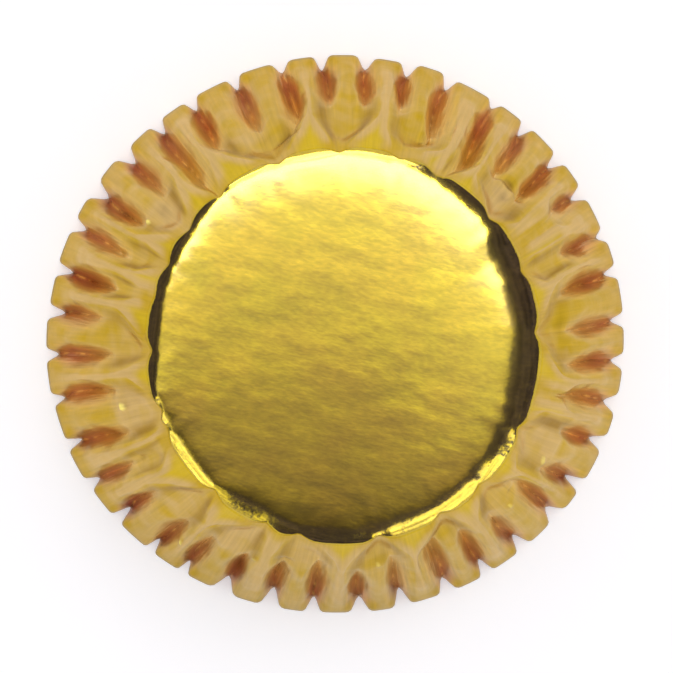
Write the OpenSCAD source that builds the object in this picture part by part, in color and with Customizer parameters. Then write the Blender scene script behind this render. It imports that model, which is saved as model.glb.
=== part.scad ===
// Cupcake liner pressed from one round sheet of gold-faced paper.
// It stands on its rim with its base up. The origin is in the middle of the rim's plane.

/* [Cup] */
// Diameter of the base, where its rounded edge meets the wall
base_d = 50.8; // [44:0.2:56]
// Height from the rim to the flat of the base
height = 31; // [24:0.5:38]
// Width of the rim from left to right, over the teeth
rim_w = 78.4; // [70:0.2:86]
// Width of the rim from front to back, over the teeth
rim_l = 75.8; // [70:0.2:86]
// How far three rounded corners of the rim stand out from its oval
rim_corner = 0.3; // [0:0.1:0.8]
// How far the wall bows out between the base and the rim
belly = 0.65; // [0:0.05:1.5]
// Radius of the rounded edge where the base turns into the wall
edge_r = 1.6; // [0.8:0.1:3]
// Thickness of the sheet
sheet_t = 0.12; // [0.08:0.01:0.2]

/* [Tucks] */
// Number of tucks pressed into the wall
tucks = 40; // [30:1:44]
// Depth of a tuck halfway up the wall
tuck_depth = 2.5; // [1:0.1:3]
// Width of a tuck halfway up the wall, where it is widest
tuck_w = 3.1; // [1.6:0.1:3.6]
// Width of a tuck where it is pressed together, just above the rim
throat_w = 1.6; // [0.8:0.1:2.4]
// Depth of the notch that a tuck leaves in the rim
notch_depth = 2.1; // [0.6:0.1:2.8]
// Width of a notch, over the round corners of the teeth beside it
notch_w = 2.7; // [1.6:0.1:3.2]

/* [Gathers] */
// How far a gather pinches in the edge of the base at its tip
pinch = 0.9; // [0:0.1:1.2]
// Depth of the hollow that the tucks of one gather run into
hollow = 1.25; // [0.4:0.05:2]
// How far the wall stands proud along both sides of a gather
ridge = 0.2; // [0:0.05:0.4]

/* [Hidden] */

// Number of tucks in each gather, in order round the wall
gather_counts = [3, 1, 1, 2, 1, 2, 2, 3, 1, 2, 1, 1, 2, 2, 1, 2, 2, 2, 2, 2, 2, 2, 1];
// Angle that each gather's tip leans from the middle of its tucks
lean_angles = [0, 2, 0, -2, 6, 3, 3, -2, -1, -1, -2, -1, 2, 2, -6, 4, 5, -4, 1, 2, -2, 1, 0];
// Share of the wall that lies above each gather's tip
low_shares = [
    0, 0, 0.5, 0, 0, 0.08, 0.02, 0.02, 0.05, 0.03, 0.02, 0.12,
    0, 0, 0.03, 0, 0, 0, 0, 0, 0.02, 0, 0.3
];
// Share of the wall over which each gather opens from its tip to its full spread
open_shares = [
    0.35, 0.2, 0.2, 0.2, 0.35, 0.2, 0.4, 0.45, 0.25, 0.4, 0.3, 0.3,
    0.35, 0.25, 0.2, 0.45, 0.4, 0.3, 0.35, 0.4, 0.35, 0.2, 0.2
];
// Share of the wall over which the inner teeth of each gather rise from its hollow
foot_shares = [
    0.3, 0.3, 0.3, 0.1, 0.3, 0.1, 0.3, 0.1, 0.3, 0.1, 0.3, 0.3,
    0.3, 0.1, 0.3, 0.1, 0.15, 0.15, 0.2, 0.1, 0.1, 0.15, 0.3
];
// Depth of each gather's hollow, as a share of the full depth
hollow_shares = [
    1, 0.9, 0.5, 1.3, 0.9, 1.3, 1.1, 1.2, 0.8, 1.1, 0.9, 0.7,
    1, 0.8, 1, 1.1, 0.8, 0.7, 1, 1.1, 1, 1.1, 0.6
];
// Angle by which each tuck stands round from its even place
shift_angles = [
    0.8, 0, 0.8, -0.5, 0, -0.6, -0.3, -1, 0.5, 0.3, 0.3, 0.8, 0.5, 1.8, 2.8, 2.3, 2.5, 3, 2.4, 2.6,
    2.4, 2, 2, 2.4, 2.1, 1.6, 1.8, 0.8, 0.8, 1.8, 1.5, 1.9, 2.1, 2.6, 2.5, 2.4, 2.8, 1.5, 2, 1.2
];
// Share of the wall, from the base, at which each tuck fades out
end_shares = [
    0.36, 0.31, 0.34, 0.44, 0.55, 0.33, 0.32, 0.17, 0.28, 0.48, 0.48, 0.49, 0.32, 0.35, 0.4, 0.17,
    0.38, 0.39, 0.35, 0.39, 0.46, 0.36, 0.37, 0.37, 0.45, 0.46, 0.44, 0.42, 0.42, 0.37, 0.29, 0.44,
    0.28, 0.23, 0.32, 0.35, 0.28, 0.44, 0.47, 0.33
];
// Angle of the first tuck, before its shift
first_angle = -6.5;
// Share of their spacing at which the tucks of a gather meet its tip
tip_spread = 0.3;
// Share of its width that a tuck keeps at the tip
tip_ratio = 0.55;
// Share of the hollow's depth that is left where the inner teeth start
ledge_ratio = 0.35;
// Angle toward which the rim is longest, and angle of one of its three rounded corners
oval_angle = 6;
corner_angle = -41.5;
// Angle over which a pinch in the base's edge dies out to each side of a gather's tip
pinch_angle = 5.5;

// Shares of the wall, before and after a tuck's end, over which the tuck fades in
fade_before = 0.24;
fade_after = 0.22;
// Shares of the wall between which a tuck narrows to its throat, and goes over to its notch
throat_span = [0.6, 0.86];
notch_span = [0.88, 1];
// Share of the wall by which a gather's hollow is deepest, from its tip
hollow_rise = 0.12;
// Share of the wall by which a pinch has gone, and by which a gather's sides stand proud
pinch_fade = 0.3;
ridge_rise = 0.12;
// Shares of the wall between which the sides of a gather run out toward the rim
ridge_span = [0.68, 0.92];
// Largest share of the way to the next tuck that a tuck takes up
tuck_limit = 0.75;
// Powers that round a tooth's corners at the rim, the flanks of a pinch and the floor of a hollow
notch_power = 2.6;
pinch_power = 1.6;
hollow_power = 4;

// Places across one tuck, from its middle to the flat of the tooth beside it:
// [share of the tuck's half width, share of the rest of the half tooth]
tuck_places = [[0, 0], [0.42, 0], [1, 0], [1, 0.4]];
side_points = len(tuck_places) - 1;
columns = 2 * side_points + 1;
// Shares of the wall at which its rings lie, from the base's edge to the rim
wall_rings = [0, 0.08, 0.17, 0.29, 0.43, 0.6, 0.84, 1];
// Shares of the rounded edge's turn at which its rings lie
edge_rings = [0, 0.5];

base_r = base_d / 2;
rim_mean = (rim_w + rim_l) / 4;
oval = (rim_w - rim_l) / 4 / cos(2 * oval_angle);
// Angle of the wall from the horizontal
slope = atan2(height - edge_r, rim_mean - base_r);
// Where the rounded edge has turned through an angle: [radius, height]
function edge_at(turn) = [
    base_r - edge_r * (sin(slope) - sin(turn)),
    height - edge_r * (1 - cos(turn))
];

function ease(low, high, x) =
    let (t = min(1, max(0, (x - low) / (high - low)))) t * t * (3 - 2 * t);
function mix(a, b, share) = a + (b - a) * share;
// Degrees from one angle to another, between -180 and 180
function turn_from(from, to) = to - from - 360 * floor((to - from + 180) / 360);

// First tuck of each gather, until all tucks are used
function gather_starts(i = 0, first = 0) =
    first >= tucks ? [] :
    concat([first], gather_starts(i + 1, first + gather_counts[i % len(gather_counts)]));
starts = gather_starts();
// Gather that each tuck belongs to
owner = [
    for (i = [0 : len(starts) - 1])
        for (k = [starts[i] : (i + 1 < len(starts) ? starts[i + 1] : tucks) - 1]) i
];
// Value of a list for a gather: the list starts again where there are more gathers
function of_gather(list, g) = list[g % len(list)];
function last_of(g) = (g + 1 < len(starts) ? starts[g + 1] : tucks) - 1;
function tuck_angle(k) =
    first_angle + 360 * k / tucks + shift_angles[k % len(shift_angles)];
function tip_angle(g) =
    (tuck_angle(starts[g]) + tuck_angle(last_of(g))) / 2 + of_gather(lean_angles, g);
function tuck_end(k) = end_shares[wrap(k) % len(end_shares)];
function wrap(k) = (k % tucks + tucks) % tucks;
// Full turns that lie between tuck k and the one of the same place in 0 .. tucks - 1
function turns(k) = 360 * floor(k / tucks);

// How far a gather has opened at a share s of the wall: 0 at its tip, 1 at its full spread
function open_at(g, s) =
    sin(90 * min(1, max(0, (s - of_gather(low_shares, g)) / of_gather(open_shares, g))));

// Angle of a tuck's middle line at a share s of the wall: it runs in towards the gather's tip
function line_angle(k, s) =
    let (i = wrap(k), tip = tip_angle(owner[i]))
    mix(tip, tuck_angle(i), mix(tip_spread, 1, open_at(owner[i], s))) + turns(k);

// Depth of a tuck's middle line
function line_depth(k, s) =
    mix(tuck_depth, notch_depth, ease(throat_span[0], notch_span[1], s))
    * ease(tuck_end(k) - fade_before, tuck_end(k) + fade_after, s);

// Share of that depth at a share x of the half width: a fold with flat flanks on the wall,
// and a slot between the round corners of two teeth at the rim
function fold(x, s) =
    mix(max(0, 1 - x), pow(max(0, 1 - x), notch_power), ease(throat_span[1], notch_span[1], s));

// Half width of a tuck, in millimetres
function half_width(k, s) =
    let (
        wide = tuck_w * mix(tip_ratio, 1, open_at(owner[wrap(k)], s)),
        narrow = mix(wide, throat_w, ease(throat_span[0], throat_span[1], s))
    )
    mix(narrow, notch_w, ease(notch_span[0], notch_span[1], s)) / 2;

// Depth of a gather's hollow at a share s of the wall, by how far a point is from its middle
// (away, 0 .. 1) and by the share of the wall at which the inner teeth start
function hollow_depth(g, s, away, teeth) =
    let (
        low = of_gather(low_shares, g),
        deepest = low + hollow_rise,
        fall = teeth > deepest ? mix(1, ledge_ratio, ease(deepest, teeth, s)) : 1,
        foot = 1 - ease(teeth, teeth + of_gather(foot_shares, g), s)
    )
    hollow * of_gather(hollow_shares, g) * ease(low, deepest, s) * fall * foot
    * (1 - pow(away, hollow_power));

// How far the edge of the base is pulled in at an angle, by the nearest gather that reaches it
function pinch_at(angle) = pinch * max([
    for (g = [0 : len(starts) - 1])
        let (away = abs(turn_from(angle, tip_angle(g))) / pinch_angle)
        max(0, 1 - of_gather(low_shares, g) / hollow_rise) * pow(max(0, 1 - away), pinch_power)
]);

function rim_radius(angle) =
    rim_mean + oval * cos(2 * (angle - oval_angle)) + rim_corner * cos(3 * (angle - corner_angle));
function wall_radius(angle, s) =
    mix(base_r, rim_radius(angle), s) + belly * sin(180 * s);

// Point of the outer face in one column of one tuck: side is -1 or 1, p counts its places
function wall_point(k, side, p, s) =
    let (
        here = line_angle(k, s),
        half_gap = abs(line_angle(k + side, s) - here) / 2,
        half_angle = min(
            half_width(k, s) / wall_radius(here, s) * 180 / PI,
            tuck_limit * half_gap
        ),
        place = tuck_places[p],
        off = place[0] * half_angle + place[1] * (half_gap - half_angle),
        angle = here + side * off,
        g = owner[wrap(k)],
        inner = g == owner[wrap(k + side)],
        on_tooth = place[0] == 1,
        left = line_angle(starts[g], s) - half_angle,
        right = line_angle(last_of(g), s) + half_angle,
        away = min(1, abs(2 * (angle - turns(k)) - left - right) / (right - left)),
        teeth = inner ? mix(tuck_end(k), tuck_end(k + side), off / half_gap / 2) : tuck_end(k),
        floor_depth = inner || !on_tooth ? hollow_depth(g, s, away, teeth) : 0,
        proud = inner || !on_tooth ? 0
            : ridge * ease(0, ridge_rise, s) * (1 - ease(ridge_span[0], ridge_span[1], s)),
        radius = wall_radius(angle, s) + proud
            - max(line_depth(k, s) * fold(place[0], s), floor_depth)
            - pinch_at(angle) * (1 - ease(0, pinch_fade, s))
    )
    [radius * cos(angle), radius * sin(angle)];

// One ring of the outer face at a share s of the wall, as points in its plane
function wall_ring(s) = [
    for (k = [0 : tucks - 1])
        for (c = [-side_points : side_points]) wall_point(k, c < 0 ? -1 : 1, abs(c), s)
];

// Unit vector across the ring at point i, towards the inside
function inward(ring, i) =
    let (
        n = len(ring),
        along = ring[(i + 1) % n] - ring[(i + n - 1) % n]
    )
    [-along[1], along[0]] / norm(along);
function inset(ring, d) = [for (i = [0 : len(ring) - 1]) ring[i] + inward(ring, i) * d];

top_ring = wall_ring(0);
rim_ring = wall_ring(1);
top_height = edge_at(slope)[1];
// A ring on the rounded edge: it keeps the wall's pinched outline as it turns over
function edge_ring(turn, r_in = 0) =
    let (place = edge_at(turn)[0] - r_in * sin(turn))
    [
        for (p = top_ring)
            let (a = atan2(p[1], p[0]), dent = base_r - norm(p))
            (place - dent * turn / slope) * [cos(a), sin(a)]
    ];

function at_height(ring, z) = [for (p = ring) [p[0], p[1], z]];

outer_rings = concat(
    [for (q = edge_rings) at_height(edge_ring(q * slope), edge_at(q * slope)[1])],
    [for (s = wall_rings) at_height(wall_ring(s), top_height * (1 - s))]
);
inner_rings = concat(
    [
        for (q = edge_rings)
            at_height(edge_ring(q * slope, sheet_t), edge_at(q * slope)[1] - sheet_t * cos(q * slope))
    ],
    [
        for (s = wall_rings)
            at_height(
                inset(wall_ring(s), sheet_t / sin(slope)),
                top_height * (1 - s) - (s == 0 ? sheet_t * cos(slope) : 0)
            )
    ]
);

// Middle of the rim, which its uneven teeth put a little off the axis of the base
function middle(values) = (min(values) + max(values)) / 2;
rim_middle = [middle([for (p = rim_ring) p[0]]), middle([for (p = rim_ring) p[1]])];

module liner() {
    n = tucks * columns;
    m = len(outer_rings);
    points = concat(
        [for (ring = outer_rings) for (p = ring) p],
        [for (ring = inner_rings) for (p = ring) p]
    );
    outer_faces = [
        for (r = [0 : m - 2]) for (i = [0 : n - 1])
            let (a = r * n + i, b = r * n + (i + 1) % n)
            each [[a, b, b + n], [a, b + n, a + n]]
    ];
    inner_start = m * n;
    inner_faces = [for (f = outer_faces) [f[2], f[1], f[0]] + inner_start * [1, 1, 1]];
    rim_faces = [
        for (i = [0 : n - 1])
            let (a = (m - 1) * n + i, b = (m - 1) * n + (i + 1) % n)
            each [[a, b, b + inner_start], [a, b + inner_start, a + inner_start]]
    ];
    base_outer = [for (i = [n - 1 : -1 : 0]) i];
    base_inner = [for (i = [0 : n - 1]) inner_start + i];
    color("goldenrod")
        translate([-rim_middle[0], -rim_middle[1], 0])
            polyhedron(points, concat(outer_faces, inner_faces, rim_faces, [base_outer, base_inner]));
}

liner();
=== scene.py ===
import math
import random

import bmesh
import bpy
from mathutils import Matrix, Vector, noise


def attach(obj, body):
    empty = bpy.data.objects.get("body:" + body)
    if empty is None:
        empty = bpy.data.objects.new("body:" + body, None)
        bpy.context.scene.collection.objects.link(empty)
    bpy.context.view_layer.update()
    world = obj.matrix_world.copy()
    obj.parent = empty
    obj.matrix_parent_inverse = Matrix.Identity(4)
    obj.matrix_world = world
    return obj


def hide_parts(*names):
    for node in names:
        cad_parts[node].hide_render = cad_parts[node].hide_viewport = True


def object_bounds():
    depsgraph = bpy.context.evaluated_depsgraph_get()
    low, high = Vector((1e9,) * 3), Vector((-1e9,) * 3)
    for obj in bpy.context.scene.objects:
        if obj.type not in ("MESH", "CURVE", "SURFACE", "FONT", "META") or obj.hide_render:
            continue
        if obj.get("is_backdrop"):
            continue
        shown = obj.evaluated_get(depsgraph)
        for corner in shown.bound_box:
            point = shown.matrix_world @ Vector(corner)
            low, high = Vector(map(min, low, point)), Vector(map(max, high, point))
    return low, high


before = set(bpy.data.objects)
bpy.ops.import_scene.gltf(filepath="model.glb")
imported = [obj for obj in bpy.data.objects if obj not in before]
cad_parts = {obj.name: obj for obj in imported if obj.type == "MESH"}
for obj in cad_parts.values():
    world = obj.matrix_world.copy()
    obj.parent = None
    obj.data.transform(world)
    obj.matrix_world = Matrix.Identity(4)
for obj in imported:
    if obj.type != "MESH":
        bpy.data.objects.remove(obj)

cadLow, cadHigh = (Vector(corner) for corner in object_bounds())
mm = 0.001

cup = {
    "baseRadius": 25.4 * mm,                 # over the bulges of the base's edge
    "height": cadHigh.z,
    "rimRadius": 38.47 * mm,                 # mean radius over the teeth
    "oval": (0.7 * mm, 6.1),                 # the rim is longer toward this azimuth
    "lopsided": (0.28 * mm, -41.5),          # and slightly three-cornered
    "belly": 0.05,                           # how far the wall bows out, as a share of its run
    "uneven": 0.18 * mm,                     # how far the wall strays in and out
    "unevenScale": (13, 4),                  # fineness round the cup and along the wall
    "crumple": 0.28 * mm,                    # depth of its small sharp creases
    "crumpleScale": (17, 6),
    "strayShare": 0.04,                      # how far its marks stray up and down, as a share
    "strayScale": (6, 2),
    "sheet": 0.12 * mm,
    "rimLift": 0.06 * mm,                    # keeps the inner side of the cut edge off the floor
    "rings": 42,                             # rings of points up the wall
    "ringPower": 1.15,                       # crowds them toward the base
}

tucks = {
    "count": 40,
    "firstAngle": -6.5,                      # degrees
    "depth": 2.65 * mm,                      # halfway up the wall
    "waist": 3.9 * mm,                       # width halfway up the wall
    "throat": 0.92,                          # share of the waist's width left just above the rim
    "columns": 20,                           # points across one tuck and half of both teeth
    "pointShares": (0.5, 0.75),              # of the points: in the tuck, up to the corner's end
    "cornerShare": 0.3,                      # of a half tooth that is its corner
    "unlike": 0.13,                          # how far the tucks differ in depth and width
    "skew": 0.34,                            # how far a fold leans to one side of its tuck
    "skewShares": (0.4, 1),                  # least and most of it
    "leanShare": 0.8,                        # of the tuck's half width that the skew is part of
    "widest": 0.8,                           # most of the gap between two tucks that they fill
    "ragged": 0.2,                           # how far a tuck's width changes along it
    "raggedScale": 5,
    "sway": (0.3, 7),                        # degrees that a fold sways, and how fast
    "toothOut": 0.14,                        # millimetres that a tooth may stand in or out
    "flankShades": {-1: (0, 0.6), 1: (0.5, 1)},    # how dark the painted shade on the two flanks may be
    "foldShade": 0.6,                        # and the fold between them
    "foldHue": 0.5,                          # hue there, between the two teeth's
    # shares of the wall between which something sets in or runs out
    "swayIn": (0.1, 0.4),
    "swayOut": (0.8, 1),
    "fadeIn": (-0.26, 0.32),                 # from the tuck's end
    "notchIn": (0.75, 0.98),
    "throatIn": (0.6, 0.86),
    "mouthIn": (0.9, 1),
    "roundIn": (0.88, 0.99),                 # the round corners of the teeth
    "toothIn": (0.5, 1),
    # and the same as shares of the tuck's half width
    "toothAcross": (0.2, 1),
    "hueAcross": (0.3, 1),
    "flankAcross": (0, 0.25),
    "foldAcross": (0, 0.2),
    # degrees that each tuck stands round from its even place
    "shift": [
        1.5, 0.8, 1.6, 0.3, 0.8, 0.2, 0.5, -0.5, 0.8, 0.6, 0.5, 0.8, 0.3, 1.4, 2.3, 1.8, 1.8, 2.2,
        1.4, 1.8, 1.4, 1, 1, 1.3, 1.2, 1, 1.2, 0.2, 0.2, 1.4, 1.4, 2.3, 2.3, 3, 2.9, 3, 3.2, 2.1,
        2.6, 1.9,
    ],
    # depth of each notch at the rim, in millimetres
    "notch": [
        1.7, 1.8, 1.7, 1.2, 2, 2.1, 1.95, 1.2, 1.95, 1.9, 1.85, 1.95, 1.5, 1.9, 1.9, 2, 2.2, 2.3,
        1.8, 2.25, 2.3, 1.65, 1.7, 2.15, 1.75, 2.6, 2.1, 1.9, 2.3, 2.6, 2.15, 2.2, 2.6, 2.25,
        2.35, 2.5, 2.1, 2.6, 2.1, 1.8,
    ],
    # and its width there, over the round corners of the teeth
    "mouth": [
        3.4, 3.1, 2.9, 3.2, 3.4, 3.2, 2.9, 3.2, 3.3, 3.6, 3.8, 3.1, 3.6, 3, 3.2, 3.2, 4, 4.2, 3.3,
        2.9, 3.1, 2.8, 2.7, 2.5, 3, 2.8, 2.4, 2.4, 4.6, 4.1, 3.3, 4, 3.6, 3.7, 3, 3.4, 4.4, 3,
        3.4, 4,
    ],
    # share of the wall, from the base, at which each tuck fades out
    "end": [
        0.36, 0.31, 0.34, 0.44, 0.55, 0.33, 0.32, 0.17, 0.28, 0.48, 0.48, 0.49, 0.32, 0.35, 0.4,
        0.17, 0.38, 0.39, 0.35, 0.39, 0.46, 0.36, 0.37, 0.37, 0.45, 0.46, 0.44, 0.42, 0.42, 0.37,
        0.29, 0.44, 0.28, 0.23, 0.32, 0.35, 0.28, 0.44, 0.47, 0.33,
    ],
    # azimuth, share of the wall, width in degrees, height as a share, and depth in
    # millimetres of small dents, or of bumps where it is below zero
    "dents": [
        (43, 0.35, 3.4, 0.026, 0.8), (67.3, 0.27, 1.1, 0.03, 0.6), (74.5, 0.45, 0.5, 0.026, 0.5),
        (106, 0.22, 3.6, 0.026, 0.7), (210, 0.34, 1.8, 0.03, 0.5), (148, 0.3, 0.6, 0.026, -0.5),
        (196, 0.28, 1, 0.022, -0.5), (231.8, 0.64, 0.6, 0.022, -0.4),
        (247.9, 0.38, 0.7, 0.02, -0.3), (279.2, 0.3, 0.9, 0.02, -0.3),
        (315.9, 0.35, 0.7, 0.022, -0.3), (329.6, 0.35, 1.4, 0.022, -0.35),
        (256, 0.3, 2.2, 0.03, 0.5), (292, 0.3, 2, 0.03, 0.5), (318.5, 0.28, 1.6, 0.03, 0.5),
    ],
}

gathers = {
    # tucks in the gather, lean of its tip in degrees, share of the wall above its tip,
    # share over which it opens, share over which its inner teeth rise, depth, bluntness
    # of its tip, and how strong the raised facet and its painted highlight are where the inner
    # teeth start
    "plan": [
        (3, 0, 0, 0.35, 0.3, 1.0, 0.3, 0), (1, 2, 0, 0.2, 0.3, 0.9, 0.5, 0),
        (1, 0, 0.42, 0.2, 0.3, 0.5, 0.6, 0), (2, -2, 0, 0.2, 0.06, 1.3, 0.9, 0.4),
        (1, 6, 0, 0.35, 0.3, 0.9, 0.5, 0), (2, 3, 0.08, 0.2, 0.06, 1.3, 0.9, 0.1),
        (2, 3, 0.02, 0.4, 0.3, 1.1, 0.1, 0), (3, -2, 0.02, 0.45, 0.06, 1.2, 0.3, 0.3),
        (1, -1, 0.05, 0.25, 0.3, 0.8, 0.5, 0), (2, -1, 0.03, 0.4, 0.08, 1.1, 0.5, 0.9),
        (1, -2, 0.02, 0.3, 0.3, 0.9, 0.4, 0), (1, -1, 0.12, 0.3, 0.3, 0.7, 0.5, 0),
        (2, 2, 0, 0.35, 0.3, 1.0, 0.3, 0.1), (2, 2, 0, 0.25, 0.1, 0.8, 0.8, 0.9),
        (1, -6, 0.03, 0.2, 0.3, 1.0, 0.9, 0.2), (2, 4, 0, 0.45, 0.1, 1.1, 0.2, 0.2),
        (2, 5, 0, 0.4, 0.15, 0.8, 0.2, 0.8), (2, -4, 0, 0.3, 0.15, 0.7, 0.8, 0.5),
        (2, 1, 0, 0.35, 0.2, 1.0, 0.5, 0.1), (2, 2, 0, 0.4, 0.08, 1.1, 0.2, 0.3),
        (2, -2, 0.02, 0.35, 0.1, 1.0, 0.3, 0.2), (2, 1, 0, 0.2, 0.15, 1.1, 0.8, 0.5),
        (1, 0, 0.3, 0.2, 0.3, 0.6, 0.5, 0),
    ],
    "tipSpread": (0.15, 0.55),               # for a sharp tip and a blunt one
    "tipWidth": (0.5 * mm, 1.8 * mm),
    "hollow": 1.25 * mm,
    "bowl": 0.75,                            # power of the hollow's rounded floor
    "steepest": 0.5,                         # most depth of a hollow, as a share of half its width
    "ledge": 0.35,                           # share of the hollow left where the inner teeth start
    "toothAbove": 0.02,                      # share by which they start above their tucks' ends
    "ridge": 0.2 * mm,
    "ridgeWidth": 2.2 * mm,
    "pinch": 0.9 * mm,                       # how far the base's edge is pulled in at a tip
    "pinchReach": 5.5,                       # degrees
    "pinchPower": 1.6,
    "pinchRound": 0.01,                      # rounds the pinch's point
    "pinchLoss": 4,                          # how fast it goes with a tip that lies lower down
    "pinchLowest": 0.2,                      # lowest tip that pinches the edge
    "sideShades": (0.45, 1.1),               # how dark the painted shade on the sides of a hollow may be
    "shadeStray": 0.5,                       # how patchy that shade is
    "shadeScale": (20, 6),
    # shares of the wall between which something sets in or runs out, from the tip
    "hollowIn": (-0.04, 0.2),
    "facetIn": (0.03, 0.1),
    "shadeIn": (0, 0.12),
    # from where the inner teeth start
    "facetOut": (-0.06, 0.06),
    "shadeOut": (-0.05, 0.15),
    # and from the base's edge
    "ridgeIn": (0, 0.12),
    "ridgeOut": (0.68, 0.92),
    "pinchOut": (0, 0.3),
    "coneOut": (0.25, 0.5),
    # the same from the middle of the gather to its side
    "facetSide": (0.5, 0.95),
    "shadeRise": (0.35, 0.75),
    "shadeFall": (0.82, 1),
    # and from its side outward, as shares of the ridge's width
    "ridgeRise": (0, 0.2),
    "ridgeFall": (0.45, 1),
    "coneRise": (0.3, 1),
}

base = {
    "dome": 0.25 * mm,
    "shoulderReach": 3.2 * mm,
    # azimuth, and the drop of the gentle turn near the edge there, in millimetres
    "shoulder": [
        (0, 0.38), (45, 0.34), (150, 0.34), (205, 0.16), (235, 0.12), (262, 0.3), (320, 0.42),
    ],
    "edgeSlope": 0.95,                       # slope that the edge reaches at the wall
    # azimuth, and how far inward the edge starts to turn there, in millimetres
    "edgeReach": [
        (0, 1.6), (28, 1.6), (42, 0.7), (58, 0.65), (66, 0.5), (100, 0.5), (128, 0.3),
        (148, 0.75), (178, 1.1), (196, 0.5), (212, 0.72), (226, 0.65), (241, 1), (254, 0.7),
        (272, 0.6), (288, 0.85), (320, 0.9), (332, 1.2), (348, 1.6),
    ],
    "wrinkle": 0.1 * mm,
    "wrinkleSize": 1.7 * mm,
    "wrinkleReach": 2.2 * mm,
    "edgeSteps": [0.3, 0.75, 1.3, 2.1, 3.2],           # rings of points, in reaches of the edge
    "flatSteps": [0.97, 0.93, 0.87, 0.78, 0.62, 0.4, 0.18],    # and in shares of the flat
    "sharpFrom": 0.3,                        # depth from which a fold is sharp, as a share
}


def ease(low, high, x):
    t = min(1.0, max(0.0, (x - low) / (high - low)))
    return t * t * (3 - 2 * t)


def easeFrom(at, span, x):                    # the same over a span that is counted from a place
    return ease(at + span[0], at + span[1], x)


def mix(a, b, share):
    return a + (b - a) * share


def between(stations, degrees):               # value between the stations round the liner
    closed = stations + [(360, stations[0][1])]
    for (low, value), (high, after) in zip(closed, closed[1:]):
        if low <= degrees % 360 <= high:
            return mix(value, after, ease(low, high, degrees % 360))


def turnFrom(angle, other):                   # degrees from other to angle, between -180 and 180
    return (angle - other + 180) % 360 - 180


# gathers and tucks

random.seed(23)
unlike = tucks["unlike"]
toothOut = tucks["toothOut"]
tuckList = []
for k in range(tucks["count"]):
    even = tucks["firstAngle"] + 360 * k / tucks["count"]
    tuckList.append({
        "angle": even + tucks["shift"][k],
        "end": tucks["end"][k],
        "deep": 1 + random.uniform(-unlike, unlike),
        "notch": tucks["notch"][k] * mm,
        "wide": 1 + random.uniform(-unlike, unlike),
        "mouth": tucks["mouth"][k] * mm,
        "skew": random.choice((-1, 1)) * random.uniform(*tucks["skewShares"]) * tucks["skew"],
        "sway": random.uniform(0, 2 * math.pi),
        # of the tooth after it; a hue of 0 is yellow, and 1 is pale
        "tooth": random.uniform(-toothOut, toothOut) * mm,
        "hue": random.random(),
        "flanks": {side: random.uniform(*span) for side, span in tucks["flankShades"].items()},
    })
gatherList = []
for count, lean, low, reach, foot, hollow, blunt, facet in gathers["plan"]:
    first = sum(gather["count"] for gather in gatherList)
    last = first + count - 1
    gather = {
        "count": count,
        "first": first,
        "last": last,
        "tip": (tuckList[first]["angle"] + tuckList[last]["angle"]) / 2 + lean,
        "low": low,
        "reach": reach,
        "foot": foot,
        "hollow": hollow * gathers["hollow"],
        "facet": facet,
        "tipSpread": mix(*gathers["tipSpread"], blunt),
        "tipWidth": mix(*gathers["tipWidth"], blunt),
        "sides": {side: random.uniform(*gathers["sideShades"]) for side in (-1, 1)},
    }
    gatherList.append(gather)
    for k in range(first, last + 1):
        tuckList[k]["gather"] = gather
print("gathers planned:", len(gatherList))


def openShare(gather, s):
    return math.sin(min(1.0, max(0.0, (s - gather["low"]) / gather["reach"])) * math.pi / 2)


def lineAngle(k, s):                          # middle line of tuck k at share s of the wall
    turns, i = divmod(k, tucks["count"])
    tuck = tuckList[i]
    tip = tuck["gather"]["tip"]
    spread = mix(tuck["gather"]["tipSpread"], 1, openShare(tuck["gather"], s))
    degrees, speed = tucks["sway"]
    sway = degrees * math.sin(speed * s + tuck["sway"]) * (1 - ease(*tucks["swayOut"], s))
    sway *= ease(*tucks["swayIn"], s)
    return tip + (tuck["angle"] - tip) * spread + sway + 360 * turns


def lineDepth(tuck, s):
    deep = mix(tucks["depth"] * tuck["deep"], tuck["notch"], ease(*tucks["notchIn"], s))
    return deep * easeFrom(tuck["end"], tucks["fadeIn"], s)


def halfWidth(tuck, s):
    ragged = tucks["ragged"] * noise.noise(Vector((tuck["angle"], tucks["raggedScale"] * s, 0)))
    waist = tucks["waist"] * tuck["wide"] * (1 + ragged)
    wide = mix(tuck["gather"]["tipWidth"], waist, openShare(tuck["gather"], s))
    wide = mix(wide, waist * tucks["throat"], ease(*tucks["throatIn"], s))
    return mix(wide, tuck["mouth"], ease(*tucks["mouthIn"], s)) / 2


def hollowDepth(gather, s, away, start, across):
    deepest = gather["low"] + gathers["hollowIn"][1]
    rise = easeFrom(gather["low"], gathers["hollowIn"], s)
    fall = mix(1, gathers["ledge"], ease(deepest, start, s)) if start > deepest else 1
    foot = 1 - ease(start, start + gather["foot"], s)
    bowl = (0.5 + 0.5 * math.cos(math.pi * away)) ** gathers["bowl"]
    return min(gather["hollow"], gathers["steepest"] * across) * rise * fall * foot * bowl


def dentDepth(angle, s):                      # in millimetres
    total = 0
    for at, share, wide, high, depth in tucks["dents"]:
        far = (turnFrom(angle, at) / wide) ** 2 + ((s - share) / high) ** 2
        total += depth * math.exp(-far)
    return total


def wallRadius(angle, s):
    a = math.radians(angle)
    oval, ovalAngle = cup["oval"]
    lopsided, lopAngle = cup["lopsided"]
    rim = cup["rimRadius"] + oval * math.cos(2 * (a - math.radians(ovalAngle)))
    rim += lopsided * math.cos(3 * (a - math.radians(lopAngle)))
    return mix(cup["baseRadius"], rim, s + cup["belly"] * math.sin(math.pi * s))


def softV(x, bottom=0.02, corner=6):          # 1 in the middle of a tuck, 0 on the flat of a tooth
    v = 1 - (math.sqrt(x * x + bottom * bottom) - bottom)
    return math.log1p(math.exp(corner * v)) / math.log1p(math.exp(corner))


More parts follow.
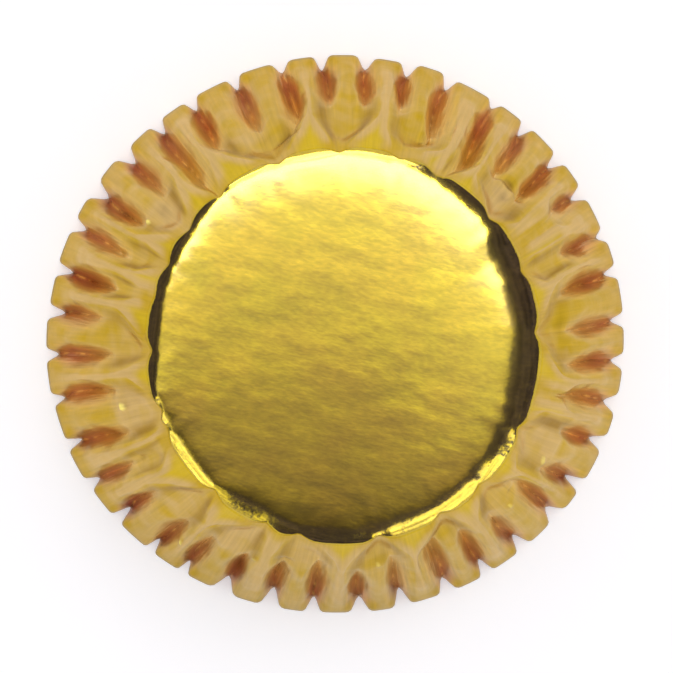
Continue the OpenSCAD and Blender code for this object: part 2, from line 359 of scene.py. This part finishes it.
def roundV(x):                                # the same at the rim, where teeth have round corners
    return 1 - 0.7 * ease(0, 0.7, x) - 0.3 * ease(0, 1, x)


def pinchAt(angle):                           # how far the edge of the base is pulled in
    pull = 0
    for gather in gatherList:
        away = abs(turnFrom(angle, gather["tip"])) / gathers["pinchReach"]
        if away < 1 and gather["low"] < gathers["pinchLowest"]:
            point = max(0.0, 1 - math.sqrt(away * away + gathers["pinchRound"]))
            share = 1 - gather["low"] * gathers["pinchLoss"]
            pull = max(pull, share * point ** gathers["pinchPower"])
    return pull


def offAcross(u, halfDegrees, halfGap):       # crowds the points in the tuck and at the corner
    inTuck, toCorner = tucks["pointShares"]
    corner = mix(halfDegrees, halfGap, tucks["cornerShare"])
    if u < inTuck:
        return u / inTuck * halfDegrees
    if u < toCorner:
        return mix(halfDegrees, corner, (u - inTuck) / (toCorner - inTuck))
    return mix(corner, halfGap, (u - toCorner) / (1 - toCorner))


def stray(angle, s, scale):                   # smooth chance between -1 and 1 over the wall
    a = math.radians(angle)
    around, along = scale
    return noise.noise(Vector((math.cos(a) * around, math.sin(a) * around, s * along)))


def wallPoint(column, s):
    k, c = divmod(column, tucks["columns"])
    u = 2 * c / tucks["columns"] - 1
    side = -1 if u < 0 else 1
    tuck = tuckList[k]
    other = tuckList[(k + side) % tucks["count"]]
    gather = tuck["gather"]

    # place round the liner
    here = lineAngle(k, s)
    halfGap = abs(lineAngle(k + side, s) - here) / 2
    halfDegrees = math.degrees(halfWidth(tuck, s) / wallRadius(here, s))
    rimward = ease(*tucks["roundIn"], s)
    lean = tucks["leanShare"] * halfDegrees * tuck["skew"] * (1 - rimward)
    halfDegrees = min(halfDegrees, tucks["widest"] * halfGap)
    left = lineAngle(gather["first"], s) - halfDegrees
    right = lineAngle(gather["last"], s) + halfDegrees
    here += lean
    halfDegrees -= side * lean
    halfGap -= side * lean
    off = offAcross(abs(u), halfDegrees, halfGap)
    angle = here + side * off
    x = off / halfDegrees
    inside = math.sin(math.pi * s)
    s += cup["strayShare"] * stray(angle, s, cup["strayScale"]) * inside

    # the tuck, and the hollow of its gather
    tuckDepth = lineDepth(tuck, s) * mix(softV(x), roundV(x), rimward)
    same = gather is other["gather"]
    inGather = same or x < 1
    away = min(1.0, abs(2 * angle - left - right) / (right - left))
    end = mix(tuck["end"], other["end"], off / halfGap / 2) if same else tuck["end"]
    start = end - gathers["toothAbove"]
    across = math.radians(right - left) / 2 * wallRadius(here, s)
    floorDepth = hollowDepth(gather, s, away, start, across) if inGather else 0
    beside = math.radians(off - halfDegrees) * wallRadius(here, s) / gathers["ridgeWidth"]
    shaded = 0
    coneReflection = 0
    if inGather:
        border = gather["facet"] * easeFrom(gather["low"], gathers["facetIn"], s)
        border *= 1 - easeFrom(start, gathers["facetOut"], s)
        border *= 1 - ease(*gathers["facetSide"], away)
        # painted shade just inside the gather's border
        shaded = ease(*gathers["shadeRise"], away) * (1 - ease(*gathers["shadeFall"], away))
        shaded *= easeFrom(gather["low"], gathers["shadeIn"], s)
        toSide = gather["sides"][1 if angle > (left + right) / 2 else -1]
        shaded *= (1 - easeFrom(start, gathers["shadeOut"], s)) * toSide
    else:
        border = ease(*gathers["ridgeIn"], s) * (1 - ease(*gathers["ridgeOut"], s))
        border *= ease(*gathers["ridgeRise"], beside)
        border *= 1 - ease(*gathers["ridgeFall"], beside)
        # painted reflection: the less steep wall between the gathers is coloured yellower
        coneReflection = ease(*gathers["coneRise"], beside) * (1 - ease(*gathers["coneOut"], s))

    # the radius
    tooth = tuck["tooth"] if side > 0 else other["tooth"]
    radius = wallRadius(angle, s)
    radius += tooth * ease(*tucks["toothAcross"], x) * ease(*tucks["toothIn"], s)
    radius += gathers["ridge"] * border - max(tuckDepth, floorDepth)
    radius -= gathers["pinch"] * pinchAt(angle) * (1 - ease(*gathers["pinchOut"], s))
    bumps = cup["uneven"] * stray(angle, s, cup["unevenScale"])
    bumps += cup["crumple"] * abs(stray(angle, s, cup["crumpleScale"]))
    radius += bumps * inside
    dent = dentDepth(angle, s)
    radius -= dent * mm

    patchy = gathers["shadeStray"] * stray(angle, s, gathers["shadeScale"]) * shaded
    hue = tuck["hue"] if side > 0 else other["hue"]
    flank = tuck["flanks"][side]
    a = math.radians(angle)
    return {
        "x": radius * math.cos(a),
        "y": radius * math.sin(a),
        "tuckDepth": tuckDepth / tucks["depth"],
        "border": border,
        "coneReflection": coneReflection,
        "hue": mix(tucks["foldHue"], hue, ease(*tucks["hueAcross"], x)),
        "flank": mix(tucks["foldShade"], flank, ease(*tucks["flankAcross"], x)),
        "dented": dent,
        "inFold": 1 - ease(*tucks["foldAcross"], x),
        "shaded": max(0, shaded + patchy),
        "grooves": Vector((math.cos(a), math.sin(a), s)),
    }


def baseHeight(x, y):
    past = math.hypot(x, y) - cup["baseRadius"]
    degrees = math.degrees(math.atan2(y, x))
    reach = between(base["edgeReach"], degrees) * mm
    shoulder = between(base["shoulder"], degrees) * mm
    wrinkle = noise.noise(Vector((x, y, 0)) / base["wrinkleSize"])
    drop = base["dome"] * (math.hypot(x, y) / cup["baseRadius"]) ** 2
    drop += shoulder * math.exp(past / base["shoulderReach"])
    drop += base["edgeSlope"] * reach * math.exp(past / reach)
    drop += base["wrinkle"] * math.exp(past / base["wrinkleReach"]) * wrinkle
    return cup["height"] - drop


# the sheet

sheet = bmesh.new()
pointLayers = sheet.verts.layers
columnLayer = pointLayers.int.new("column")
wallMarks = ("tuckDepth", "border", "coneReflection", "hue", "flank", "dented", "inFold", "shaded")
otherMarks = ("wallShare", "onBase", "nearEdge")
marks = {name: pointLayers.float.new(name) for name in wallMarks + otherMarks}
groovesLayer = pointLayers.float_vector.new("grooves")
columnCount = tucks["count"] * tucks["columns"]
bmesh.ops.create_circle(sheet, cap_ends=False, radius=1, segments=columnCount)
byAngle = sorted(sheet.verts, key=lambda v: math.atan2(v.co.y, v.co.x) % (2 * math.pi))
for i, vert in enumerate(byAngle):
    vert[columnLayer] = i


def nextRing(edges):
    made = bmesh.ops.extrude_edge_only(sheet, edges=edges)["geom"]
    return [e for e in made if isinstance(e, bmesh.types.BMEdge)]


def ringVerts(edges):
    return {v for e in edges for v in e.verts}


def placeWall(edges, s):
    for vert in ringVerts(edges):
        point = wallPoint(vert[columnLayer], s)
        top = topHeights[vert[columnLayer]]
        vert.co = (point["x"], point["y"], mix(top, cup["rimLift"], s))
        for name in wallMarks:
            vert[marks[name]] = point[name]
        vert[marks["wallShare"]] = s
        vert[groovesLayer] = point["grooves"]


topHeights = {}
for i in range(columnCount):
    point = wallPoint(i, 0)
    topHeights[i] = baseHeight(point["x"], point["y"])

ring = list(sheet.edges)
placeWall(ring, 1.0)
for i in range(cup["rings"] - 1, -1, -1):
    ring = nextRing(ring)
    placeWall(ring, (i / cup["rings"]) ** cup["ringPower"])
print("wall made")

outline = {v[columnLayer]: v.co.copy() for v in ringVerts(ring)}
lastEdge = base["edgeSteps"][-1]
for step in base["edgeSteps"] + base["flatSteps"]:
    ring = nextRing(ring)
    for vert in ringVerts(ring):
        corner = outline[vert[columnLayer]]
        out = math.hypot(corner.x, corner.y)
        reach = between(base["edgeReach"], math.degrees(math.atan2(corner.y, corner.x))) * mm
        if step in base["edgeSteps"]:
            radius = out - reach * step * (1 - (cup["baseRadius"] - out) / (reach * lastEdge))
        else:
            radius = (cup["baseRadius"] - reach * lastEdge) * step
        x, y = corner.x / out * radius, corner.y / out * radius
        vert.co = (x, y, baseHeight(x, y))
        for name in ("tuckDepth", "border", "coneReflection", "wallShare"):
            vert[marks[name]] = 0
        vert[marks["onBase"]] = 1
        vert[marks["nearEdge"]] = math.exp((radius - cup["baseRadius"]) / base["wrinkleReach"])
ring = nextRing(ring)
bmesh.ops.pointmerge(sheet, verts=list(ringVerts(ring)), merge_co=(0, 0, baseHeight(0, 0)))

low = [min(v.co[i] for v in sheet.verts) for i in range(2)]
high = [max(v.co[i] for v in sheet.verts) for i in range(2)]
middle = Vector(((low[0] + high[0]) / 2, (low[1] + high[1]) / 2, 0))
bmesh.ops.translate(sheet, verts=sheet.verts, vec=-middle)
fit = [min(1.0, (cadHigh[i] - cadLow[i]) / (high[i] - low[i])) for i in range(2)]
bmesh.ops.scale(sheet, verts=sheet.verts, vec=(fit[0], fit[1], 1))
bmesh.ops.recalc_face_normals(sheet, faces=sheet.faces)
if sum(f.normal.z for f in sheet.faces) < 0:
    bmesh.ops.reverse_faces(sheet, faces=sheet.faces)
for face in sheet.faces:
    face.smooth = True
foldColumn = tucks["columns"] // 2
for edge in sheet.edges:                      # the folds are sharp
    start, end = edge.verts
    column = start[columnLayer]
    alongFold = end[columnLayer] == column and column % tucks["columns"] == foldColumn
    if alongFold and min(v[marks["tuckDepth"]] for v in edge.verts) > base["sharpFrom"]:
        edge.smooth = False


def addObject(name, data):
    made = bpy.data.objects.new(name, data)
    bpy.context.scene.collection.objects.link(made)
    return made


linerMesh = bpy.data.meshes.new("liner_foil")
sheet.to_mesh(linerMesh)
sheet.free()
liner = addObject("liner_foil", linerMesh)
thick = liner.modifiers.new("sheet", "SOLIDIFY")
thick.thickness = cup["sheet"]
thick.offset = -1
thick.material_offset = 1
thick.material_offset_rim = 1
print("sheet made:", len(linerMesh.polygons), "faces, fitted by", [round(f, 4) for f in fit])

# materials

foil = {
    "flat": (0.554, 0.404, 0.01, 1),         # on the base
    "flatWarm": (0.57, 0.393, 0.013, 1),     # and in patches of it
    "wall": (0.53, 0.335, 0.015, 1),
    "coneReflection": (0.61, 0.42, 0.01, 1),           # painted reflection: yellower where the wall is less steep, between the gathers, beside the base
    "pale": (0.6, 0.4, 0.14, 1),             # painted highlight along the gathers' borders and facets, and the foil's own paler mottle and teeth
    # painted reflection, orange-tan, bounced between the flanks of a tuck
    "tuck": (0.62, 0.385, 0.085, 1),
    "deep": (0.47, 0.14, 0.15, 1),           # painted shade, dark red, deep in the tucks beside the notches
    "glint": (0.84, 0.58, 0.24, 1),          # in broken lines down the folds
    # painted shade in the small dents
    "dent": (0.24, 0.11, 0.02, 1),
    "hollow": (0.3, 0.155, 0.01, 1),         # painted shade on the sides of a gather's hollow
    "spark": (1, 0.84, 0.2, 1),              # painted highlight on the small bumps
    "edgeTint": (0.97, 0.9, 0.7, 1),
    "roughness": 0.13,
    "wallRoughness": 0.3,
    # relief too fine for the sheet's points
    "grainTurn": math.radians(-12),          # the rolling grain slopes down to the right
    "grainSize": (1.05 * mm, 0.42 * mm, 1 * mm),
    "grainHeight": 0.0036 * mm,
    "bandSize": (4.4 * mm, 2.5 * mm, 4 * mm),
    "bandHeight": 0.038 * mm,
    "nickScale": 1300,                       # fine wrinkles near the edge of the base
    "nickHeight": 0.032 * mm,
    "creaseScale": 420,
    "creaseHeight": 0.05 * mm,
    "waveScale": 85,
    "waveHeight": 0.1 * mm,
    "grooves": (70, 70, 3),                  # fineness round the cup and along the wall
    "grooveHeight": 0.06 * mm,
    "grooveByDepth": (0, 0.6, 0.5, 2),       # depth in the tuck from and to, share of the height
    "patchScale": 150,
    # where a colour shows: a mark or texture from and to, and the colour's share at both
    "paleByMottle": (0.35, 0.65, -0.22, 0.45),
    "paleByHue": (0, 1, -0.15, 0.3),
    "hollowByShade": (0, 1, 0, 0.9),
    "warmByPatch": (0.38, 0.62),
    "tuckReflectionByDepth": (0.08, 0.45),
    "notchShadeByDepth": (0.2, 0.7),
    "notchShadeByWall": (0.42, 0.92),
    "notchShadeByFlank": (0, 1, 0.25, 1),
    "glintByDepth": (0.2, 0.5),
    "glintByCrease": (0.46, 0.62, 0.05, 0.75),
    "dentShadeByDepth": (0.3, 0.7, 0, 0.7),
    "sparkHighlightByDepth": (-0.12, -0.35),
    # brightness: a texture or place from and to, and the level at both
    "grainLevel": (0.3, 0.7, 0.88, 1.07),
    "bandLevel": (0.3, 0.7, 0.89, 1.07),
    "frontShade": (-37 * mm, -20 * mm, 0.85, 1),       # painted shade: the teeth at the front are darker
    "grooveLevel": (0.3, 0.7, -0.2, 0.2),
    "grooveLevelByDepth": (0, 0.5, 0.35, 1),
}

paper = {
    "color": (0.84, 0.81, 0.74, 1),
    "fleck": (0.79, 0.76, 0.68, 1),
    "fleckByMottle": (0.4, 0.75),
    "roughness": 0.75,
    "fibreScale": 1500,
    "fibreHeight": 0.02 * mm,
}


def newMaterial(name):
    made = bpy.data.materials.new(name)
    made.use_nodes = True
    return made, made.node_tree


def setSocket(tree, socket, value):           # to a constant, or to what another node gives
    if isinstance(value, bpy.types.NodeSocket):
        tree.links.new(value, socket)
    else:
        socket.default_value = value


def addNode(tree, kind, settings=None, values=None):
    node = tree.nodes.new(kind)
    for name, value in (settings or {}).items():
        setattr(node, name, value)
    for name, value in (values or {}).items():
        setSocket(tree, node.inputs[name], value)
    return node


def addMath(tree, operation, first, second):
    node = addNode(tree, "ShaderNodeMath", {"operation": operation})
    setSocket(tree, node.inputs[0], first)
    setSocket(tree, node.inputs[1], second)
    return node.outputs[0]


def addColorMix(tree, share, first, second):
    node = addNode(tree, "ShaderNodeMix", {"data_type": "RGBA"})
    for i, value in ((0, share), (6, first), (7, second)):    # the sockets of a mix of colours
        setSocket(tree, node.inputs[i], value)
    return node.outputs[2]


def addRange(tree, value, fromLow, fromHigh, toLow=0.0, toHigh=1.0):
    return addNode(tree, "ShaderNodeMapRange", None, {
        "Value": value, "From Min": fromLow, "From Max": fromHigh,
        "To Min": toLow, "To Max": toHigh,
    }).outputs["Result"]


def addNoise(tree, vector, scale, detail, roughness=0.5):
    return addNode(tree, "ShaderNodeTexNoise", None, {
        "Vector": vector, "Scale": scale, "Detail": detail, "Roughness": roughness,
    }).outputs["Fac"]


def addAttribute(tree, name, output="Fac"):
    return addNode(tree, "ShaderNodeAttribute", {"attribute_name": name}).outputs[output]


def addPlace(tree):                           # object coordinates
    return addNode(tree, "ShaderNodeTexCoord").outputs["Object"]


def addBump(tree, shader, height, distance):
    bump = addNode(tree, "ShaderNodeBump", None, {
        "Strength": 1, "Distance": distance, "Height": height,
    })
    tree.links.new(bump.outputs["Normal"], shader.inputs["Normal"])


# fine crumple of the sheet, on both of its sides
mottleScale = 230
crumple = bpy.data.node_groups.new("sheetCrumple", "ShaderNodeTree")
crumple.interface.new_socket("Scale", in_out="INPUT", socket_type="NodeSocketFloat")
crumple.interface.new_socket("Height", in_out="OUTPUT", socket_type="NodeSocketFloat")
crumple.interface.new_socket("Mottle", in_out="OUTPUT", socket_type="NodeSocketFloat")
groupIn = crumple.nodes.new("NodeGroupInput")
groupOut = crumple.nodes.new("NodeGroupOutput")
place = addPlace(crumple)
folds = addNoise(crumple, place, groupIn.outputs["Scale"], 2, 0.55)
crumple.links.new(folds, groupOut.inputs["Height"])
crumple.links.new(addNoise(crumple, place, mottleScale, 2), groupOut.inputs["Mottle"])


def addCrumple(tree, scale):
    node = addNode(tree, "ShaderNodeGroup", {"node_tree": crumple}, {"Scale": scale})
    return node.outputs["Height"], node.outputs["Mottle"]


goldFoil, tree = newMaterial("goldFoil")
shader = tree.nodes["Principled BSDF"]
shader.inputs["Metallic"].default_value = 1
shader.inputs["Specular Tint"].default_value = foil["edgeTint"]
place = addPlace(tree)


def alongGrain(size):                         # place in sizes of the grain, turned to run with it
    return addNode(tree, "ShaderNodeMapping", {"vector_type": "TEXTURE"}, {
        "Vector": place, "Rotation": (0, 0, foil["grainTurn"]), "Scale": size,
    }).outputs["Vector"]


grain = addNoise(tree, alongGrain(foil["grainSize"]), 1, 1, 0.6)
bands = addNoise(tree, alongGrain(foil["bandSize"]), 1, 1)
waves = addNoise(tree, place, foil["waveScale"], 1)
nicks = addNoise(tree, place, foil["nickScale"], 1)
patches = addNoise(tree, place, foil["patchScale"], 2)
creases, mottle = addCrumple(tree, foil["creaseScale"])
around = addNode(tree, "ShaderNodeMapping", None, {
    "Vector": addAttribute(tree, "grooves", "Vector"), "Scale": foil["grooves"],
})
grooves = addNoise(tree, around.outputs["Vector"], 1, 2, 0.6)
onBase = addAttribute(tree, "onBase")
tuckShade = addAttribute(tree, "tuckDepth")
dented = addAttribute(tree, "dented")
offBase = addMath(tree, "SUBTRACT", 1, onBase)
inTucks = addMath(tree, "MULTIPLY", offBase, addRange(tree, tuckShade, *foil["grooveByDepth"]))

height = 0
for texture, where, size in (
    (grain, onBase, foil["grainHeight"]),
    (bands, onBase, foil["bandHeight"]),
    (creases, offBase, foil["creaseHeight"]),
    (waves, onBase, foil["waveHeight"]),
    (nicks, addAttribute(tree, "nearEdge"), foil["nickHeight"]),
    (grooves, inTucks, foil["grooveHeight"]),
):
    relief = addMath(tree, "MULTIPLY", addMath(tree, "MULTIPLY", texture, where), size)
    height = addMath(tree, "ADD", height, relief)
addBump(tree, shader, height, 1)

# pale: painted highlight on the gathers' borders and facets, plus random paler mottle and teeth
pale = addMath(tree, "MULTIPLY", offBase, addRange(tree, mottle, *foil["paleByMottle"]))
pale = addMath(tree, "ADD", addAttribute(tree, "border"), pale)
hue = addRange(tree, addAttribute(tree, "hue"), *foil["paleByHue"])
pale = addMath(tree, "MAXIMUM", addMath(tree, "ADD", pale, hue), 0)
warm = addRange(tree, patches, *foil["warmByPatch"])
flat = addColorMix(tree, warm, foil["flat"], foil["flatWarm"])
# painted shade of light bounced deep in the tucks, strongest near the notches and on the darker
# flank
deep = addMath(tree, "MULTIPLY", addRange(tree, tuckShade, *foil["notchShadeByDepth"]),
               addRange(tree, addAttribute(tree, "wallShare"), *foil["notchShadeByWall"]))
flank = addRange(tree, addAttribute(tree, "flank"), *foil["notchShadeByFlank"])
glints = addMath(tree, "MULTIPLY", addAttribute(tree, "inFold"),
                 addRange(tree, tuckShade, *foil["glintByDepth"]))
broken = addRange(tree, creases, *foil["glintByCrease"])

# painted light in this chain: highlights on the borders, shade in the hollows, tucks, notches and
# dents, reflections between the gathers and in the tucks, glints down the folds and highlights on
# the bumps; the rest is the foil's own tone
color = foil["wall"]
for share, tone in (
    (addMath(tree, "MINIMUM", pale, 1), foil["pale"]),
    (addRange(tree, addAttribute(tree, "shaded"), *foil["hollowByShade"]), foil["hollow"]),
    (addAttribute(tree, "coneReflection"), foil["coneReflection"]),
    (onBase, flat),
    (addRange(tree, tuckShade, *foil["tuckReflectionByDepth"]), foil["tuck"]),
    (addMath(tree, "MULTIPLY", deep, flank), foil["deep"]),
    (addMath(tree, "MULTIPLY", glints, broken), foil["glint"]),
    (addRange(tree, dented, *foil["dentShadeByDepth"]), foil["dent"]),
    (addRange(tree, dented, *foil["sparkHighlightByDepth"]), foil["spark"]),
):
    color = addColorMix(tree, share, color, tone)

streaks = addMath(tree, "MULTIPLY", addRange(tree, grain, *foil["grainLevel"]),
                  addRange(tree, bands, *foil["bandLevel"]))
axes = addNode(tree, "ShaderNodeSeparateXYZ", None, {"Vector": place})
grooved = addMath(tree, "MULTIPLY", addRange(tree, grooves, *foil["grooveLevel"]),
                  addRange(tree, tuckShade, *foil["grooveLevelByDepth"]))
# the teeth at the front get painted shade
wallLevel = addMath(tree, "ADD", addRange(tree, axes.outputs["Y"], *foil["frontShade"]), grooved)
levels = addMath(tree, "ADD", addMath(tree, "MULTIPLY", streaks, onBase),
                 addMath(tree, "MULTIPLY", wallLevel, offBase))
leveled = addNode(tree, "ShaderNodeVectorMath", {"operation": "SCALE"}, {"Scale": levels})
tree.links.new(color, leveled.inputs[0])
tree.links.new(leveled.outputs[0], shader.inputs["Base Color"])
rougher = addMath(tree, "MULTIPLY", offBase, foil["wallRoughness"] - foil["roughness"])
tree.links.new(addMath(tree, "ADD", foil["roughness"], rougher), shader.inputs["Roughness"])
tree.links.new(onBase, shader.inputs["Coat Weight"])
shader.inputs["Coat Roughness"].default_value = foil["roughness"]

paperBack, tree = newMaterial("paperBack")
shader = tree.nodes["Principled BSDF"]
shader.inputs["Roughness"].default_value = paper["roughness"]
fibres, mottle = addCrumple(tree, paper["fibreScale"])
flecks = addRange(tree, mottle, *paper["fleckByMottle"])
color = addColorMix(tree, flecks, paper["color"], paper["fleck"])
tree.links.new(color, shader.inputs["Base Color"])
addBump(tree, shader, fibres, paper["fibreHeight"])

linerMesh.materials.append(goldFoil)
linerMesh.materials.append(paperBack)

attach(liner, "root")
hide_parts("liner")
print("materials made")

# floor, world, cards and lamp

stage = {
    "floorHalf": 3,                          # half of its width
    "floorDrop": 0.1 * mm,                   # below the rim
    "floorColor": (0.86, 0.85, 0.87, 1),
    "floorRoughness": 0.9,
    "floorGlow": 0.31,                       # seen and mirrored only
    "floorGlowColor": (0.98, 0.985, 1.05, 1),
    "skyColor": (1, 1, 1, 1),
    "skyLevel": 0.76,
    "skySeen": 1.0,
}

floorMesh = bpy.data.meshes.new("floor")
floorBm = bmesh.new()
bmesh.ops.create_grid(floorBm, x_segments=1, y_segments=1, size=stage["floorHalf"])
floorBm.to_mesh(floorMesh)
floorBm.free()
floor = addObject("floor", floorMesh)
floor.location.z = -stage["floorDrop"]
floor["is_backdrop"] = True


def seenOrMirrored(tree, otherwise, seen):
    path = addNode(tree, "ShaderNodeLightPath")
    value = path.outputs["Is Camera Ray"]
    for ray in ("Is Glossy Ray", "Is Transmission Ray"):
        value = addMath(tree, "MAXIMUM", value, path.outputs[ray])
    return addRange(tree, value, 0, 1, otherwise, seen)


floorPaint, tree = newMaterial("floorPaint")
shader = tree.nodes["Principled BSDF"]
shader.inputs["Base Color"].default_value = stage["floorColor"]
shader.inputs["Roughness"].default_value = stage["floorRoughness"]
shader.inputs["Specular IOR Level"].default_value = 0
shader.inputs["Emission Color"].default_value = stage["floorGlowColor"]
tree.links.new(seenOrMirrored(tree, 0, stage["floorGlow"]), shader.inputs["Emission Strength"])
floorMesh.materials.append(floorPaint)

world = bpy.data.worlds.new("studio")
bpy.context.scene.world = world
world.use_nodes = True
tree = world.node_tree
background = tree.nodes["Background"]
background.inputs["Color"].default_value = stage["skyColor"]
skyLevel = seenOrMirrored(tree, stage["skyLevel"], stage["skySeen"])
tree.links.new(skyLevel, background.inputs["Strength"])

dark = (0.08, 0.07, 0.26)                    # shaded surroundings, bluish
bright = (2, 2, 2.2)                         # lit surroundings
cards = {
    "distance": 1.2,
    "steps": (12, 24),                       # faces up and round each card
    # name, azimuth from and to, elevation from and to, colour
    "plan": [
        ("cardRight", -29, 62, -2, 69, dark),
        ("cardBack", 62, 130, 38, 69, (4, 4, 5.6)),
        ("cardLeft", 130, 207, -2, 62, dark),
        ("glowLeft", 207, 232, 18, 64, bright),
        ("glowSpot", 235, 246, 26, 66, (1.1, 1.1, 0.8)),
        ("cardFront", 246, 289, -2, 72, dark),
        ("glowRight", 289, 320, 18, 60, bright),
        ("glowRightEnd", 320, 331, 10, 48, bright),
        ("shadeRight", 289, 320, 60, 70, dark),
        ("shadeRightEnd", 320, 331, 48, 70, dark),
    ],
    "clutterScale": 6,
    "clutterLevel": (0.3, 0.7, 0.4, 1.9),    # texture from and to, share of the colour at both
}

ceiling = {
    "distance": 1.3,
    "elevations": (66, 89.9),
    # from the front to the back: share of its distance, brightness, tint
    "stops": [
        (-0.3, 0.1, "warm"), (-0.19, 0.22, "warm"), (-0.14, 0.42, "warm"), (-0.09, 0.56, "warm"),
        (-0.056, 0.62, "warm"), (-0.042, 0.92, "plain"), (-0.012, 1.06, "plain"),
        (0.006, 1.26, "plain"), (0.045, 1.3, "plain"), (0.08, 1.45, "plain"), (0.12, 2.2, "cool"),
        (0.2, 3.6, "cool"),
    ],
    "tints": {"warm": (1, 0.87, 1.15), "plain": (1, 1, 1), "cool": (1, 1, 3.2)},
    # to the right it is as bright as farther back: from where, how fast and how far back
    "tilt": (0.05, 0.85, 0.07),
}


def glowCard(name, azimuths, elevations, distance):
    bm = bmesh.new()
    low, high = (math.radians(e) for e in elevations)
    first = bm.verts.new((distance * math.cos(low), 0, distance * math.sin(low)))
    bmesh.ops.spin(bm, geom=[first], cent=(0, 0, 0), axis=(0, -1, 0), angle=high - low,
                   steps=cards["steps"][0])
    bmesh.ops.rotate(bm, verts=bm.verts, cent=(0, 0, 0),
                     matrix=Matrix.Rotation(math.radians(azimuths[0]), 3, "Z"))
    bmesh.ops.spin(bm, geom=list(bm.verts) + list(bm.edges), cent=(0, 0, 0), axis=(0, 0, 1),
                   angle=math.radians(azimuths[1] - azimuths[0]), steps=cards["steps"][1])
    mesh = bpy.data.meshes.new(name)
    bm.to_mesh(mesh)
    bm.free()
    card = addObject(name, mesh)
    for ray in ("camera", "diffuse", "shadow", "transmission"):
        setattr(card, "visible_" + ray, False)
    card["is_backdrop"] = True
    paint, tree = newMaterial(name)
    glow = addNode(tree, "ShaderNodeEmission")
    tree.links.new(glow.outputs[0], tree.nodes["Material Output"].inputs["Surface"])
    mesh.materials.append(paint)
    return tree, glow.inputs


for name, azimuthFrom, azimuthTo, low, high, color in cards["plan"]:
    tree, glow = glowCard(name, (azimuthFrom, azimuthTo), (low, high), cards["distance"])
    glow["Color"].default_value = (*color, 1)
    clutter = addNoise(tree, addPlace(tree), cards["clutterScale"], 2)
    tree.links.new(addRange(tree, clutter, *cards["clutterLevel"]), glow["Strength"])

reach = ceiling["distance"]
stops = ceiling["stops"]
tree, glow = glowCard("ceiling", (0, 360), ceiling["elevations"], reach)
axes = addNode(tree, "ShaderNodeSeparateXYZ", None, {"Vector": addPlace(tree)})
tiltFrom, tiltSpeed, tiltMost = ceiling["tilt"]
toRight = addMath(tree, "SUBTRACT", axes.outputs["X"], tiltFrom * reach)
toRight = addMath(tree, "MULTIPLY", addMath(tree, "MAXIMUM", toRight, 0), tiltSpeed)
toRight = addMath(tree, "MINIMUM", toRight, tiltMost * reach)
along = addMath(tree, "ADD", axes.outputs["Y"], toRight)
along = addRange(tree, along, stops[0][0] * reach, stops[-1][0] * reach)
ramp = addNode(tree, "ShaderNodeValToRGB")
rampStops = ramp.color_ramp.elements
topLevel = stops[-1][1] * max(ceiling["tints"]["cool"])
for i, (at, level, tint) in enumerate(stops):
    position = (at - stops[0][0]) / (stops[-1][0] - stops[0][0])
    stop = rampStops[0] if i == 0 else rampStops.new(position)
    stop.position = position
    stop.color = (*(level * share / topLevel for share in ceiling["tints"][tint]), 1)
rampStops.remove(rampStops[-1])
tree.links.new(along, ramp.inputs[0])
tree.links.new(ramp.outputs[0], glow["Color"])
glow["Strength"].default_value = topLevel

lamp = {
    "azimuth": 60,
    "elevation": 62,
    "distance": 1.1,
    "size": 0.5,
    "energy": 1.6,
}


def toward(azimuth, elevation):
    a, e = math.radians(azimuth), math.radians(elevation)
    return Vector((math.cos(a) * math.cos(e), math.sin(a) * math.cos(e), math.sin(e)))


lampData = bpy.data.lights.new("lamp", "AREA")
lampData.size = lamp["size"]
lampData.energy = lamp["energy"]
lampObject = addObject("lamp", lampData)
toLamp = toward(lamp["azimuth"], lamp["elevation"])
lampObject.location = toLamp * lamp["distance"]
lampObject.rotation_mode = "QUATERNION"
lampObject.rotation_quaternion = (-toLamp).to_track_quat("-Z", "Y")
lampObject.visible_glossy = False
print("stage made")

# camera

shot = {
    "distance": 0.5,
    "lean": 2.9,                             # degrees off straight down
    "leanAzimuth": 128,
    "imagePixels": 673,
    "pixelsPerMetre": 7380,                  # at the rim
    "offsetPixels": (0.75, -1.9),            # of the picture's middle from the rim's
    "sensor": 36,
}
camera = bpy.data.cameras.new("camera")
camera.sensor_width = shot["sensor"]
camera.lens = shot["pixelsPerMetre"] * shot["distance"] / shot["imagePixels"] * shot["sensor"]
camera.shift_x, camera.shift_y = (offset / shot["imagePixels"] for offset in shot["offsetPixels"])
cameraObject = addObject("camera", camera)
back = toward(shot["leanAzimuth"], 90 - shot["lean"])
across = Vector((0, 1, 0)).cross(back).normalized()
up = back.cross(across)
cameraObject.location = back * shot["distance"]
cameraObject.rotation_mode = "QUATERNION"
cameraObject.rotation_quaternion = Matrix((across, up, back)).transposed().to_quaternion()
bpy.context.scene.camera = cameraObject
bpy.context.scene.view_settings.view_transform = "Standard"
print("camera made")
